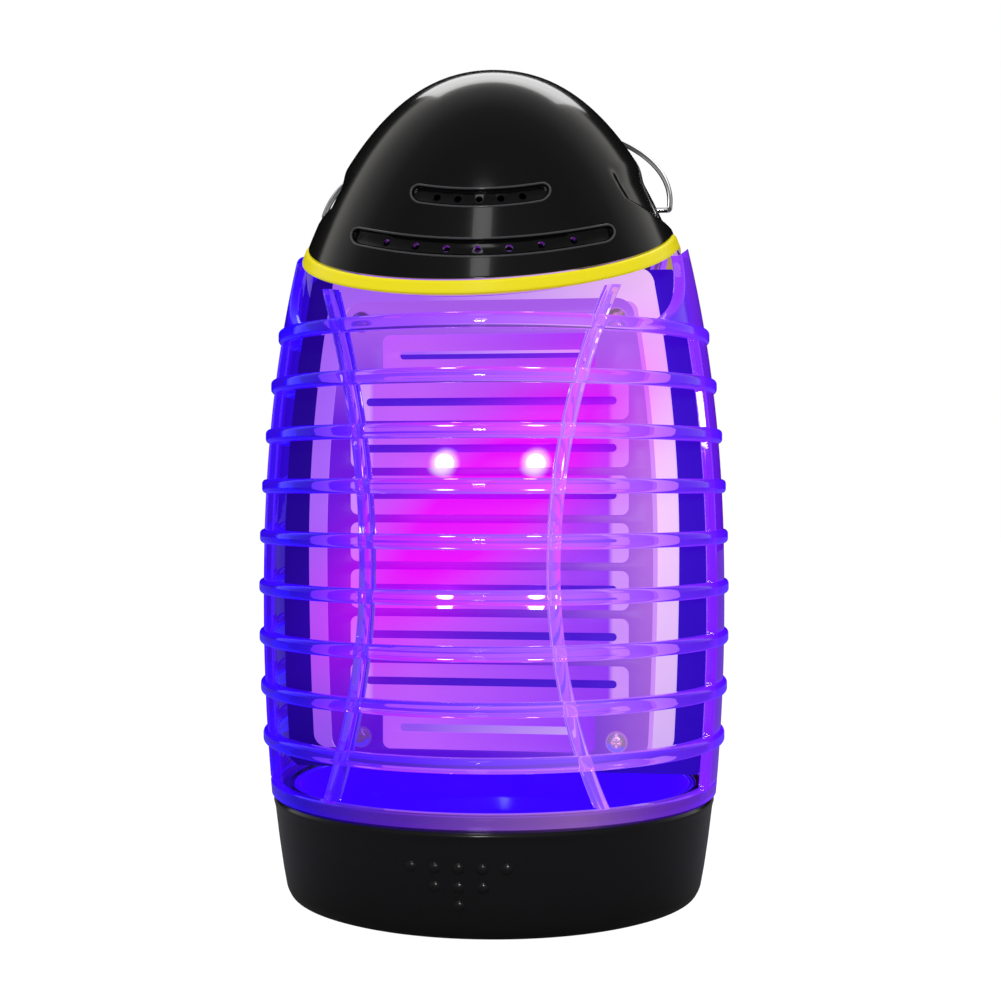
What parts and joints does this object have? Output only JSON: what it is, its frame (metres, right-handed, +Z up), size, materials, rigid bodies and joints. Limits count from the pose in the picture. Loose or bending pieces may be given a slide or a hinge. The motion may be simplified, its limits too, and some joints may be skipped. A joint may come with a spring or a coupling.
{
  "type": "electric bug zapper",
  "caption": "Lantern-shaped electric insect killer: domed black head with a wire bail, clear ring guard round a flat electrode core, and a lift-off base with a catch tray.",
  "frame": {"origin": "centre of the underside of the base", "axes": "+Z up, the front faces -Y, the bail's pivot line runs along X"},
  "size_m": [0.1286, 0.1286, 0.225],
  "materials": {
    "black_gloss": "high gloss black",
    "black_satin": "satin black",
    "yellow": "gloss yellow",
    "clear_violet": "clear, lit violet",
    "white_plastic": "satin white",
    "grid_steel": "satin",
    "screw_steel": "plated",
    "chrome_wire": "polished",
    "circuit_board": "satin green",
    "transformer": "dark",
    "capacitor": "brown",
    "led": "lit violet"
  },
  "bodies": {
    "base": {"base_shell": "black_satin", "catch_tray": "clear_violet"},
    "lantern": {"dome_cap": "black_gloss", "trim_ring": "yellow", "power_inlet": "black_satin", "head_floor": "black_satin", "head_screw_front": "screw_steel", "head_screw_rear": "screw_steel", "hv_board": "circuit_board", "hv_transformer": "transformer", "hv_capacitor": "capacitor", "guard_ring_1": "clear_violet", "guard_ring_2": "clear_violet", "guard_ring_3": "clear_violet", "guard_ring_4": "clear_violet", "guard_ring_5": "clear_violet", "guard_ring_6": "clear_violet", "guard_ring_7": "clear_violet", "guard_ring_8": "clear_violet", "guard_ring_9": "clear_violet", "guard_rib_front_left": "clear_violet", "guard_rib_rear_left": "clear_violet", "guard_pillar_left": "clear_violet", "guard_rib_front_right": "clear_violet", "guard_rib_rear_right": "clear_violet", "guard_pillar_right": "clear_violet", "guard_top_rim": "clear_violet", "guard_bottom_rim": "clear_violet", "divider": "black_satin", "core_front": "white_plastic", "led_board_front": "circuit_board", "slot_plate_front": "white_plastic", "grid_front": "grid_steel", "led_front_1": "led", "grid_screw_front_1": "screw_steel", "led_front_2": "led", "grid_screw_front_2": "screw_steel", "led_front_3": "led", "grid_screw_front_3": "screw_steel", "led_front_4": "led", "grid_screw_front_4": "screw_steel", "core_rear": "white_plastic", "led_board_rear": "circuit_board", "slot_plate_rear": "white_plastic", "grid_rear": "grid_steel", "led_rear_1": "led", "grid_screw_rear_1": "screw_steel", "led_rear_2": "led", "grid_screw_rear_2": "screw_steel", "led_rear_3": "led", "grid_screw_rear_3": "screw_steel", "led_rear_4": "led", "grid_screw_rear_4": "screw_steel"},
    "bail": {"bail": "chrome_wire"},
    "power_button": {"power_button": "yellow"}
  },
  "joints": [
    {"name": "base_lift_off", "type": "slide", "parent": "base", "child": "lantern", "axis": [0, 0, 1], "range_m": [0, 0.036]},
    {"name": "bail_swing", "type": "hinge", "parent": "lantern", "child": "bail", "pos_m": [0, 0, 0.1865], "axis": [1, 0, 0], "range_deg": [-35, 135]},
    {"name": "power_button_press", "type": "slide", "parent": "lantern", "child": "power_button", "axis": [0, -1, 0], "range_m": [0, 0.0015], "stiffness_N_per_m": 300, "springref_m": -0.002}
  ]
}
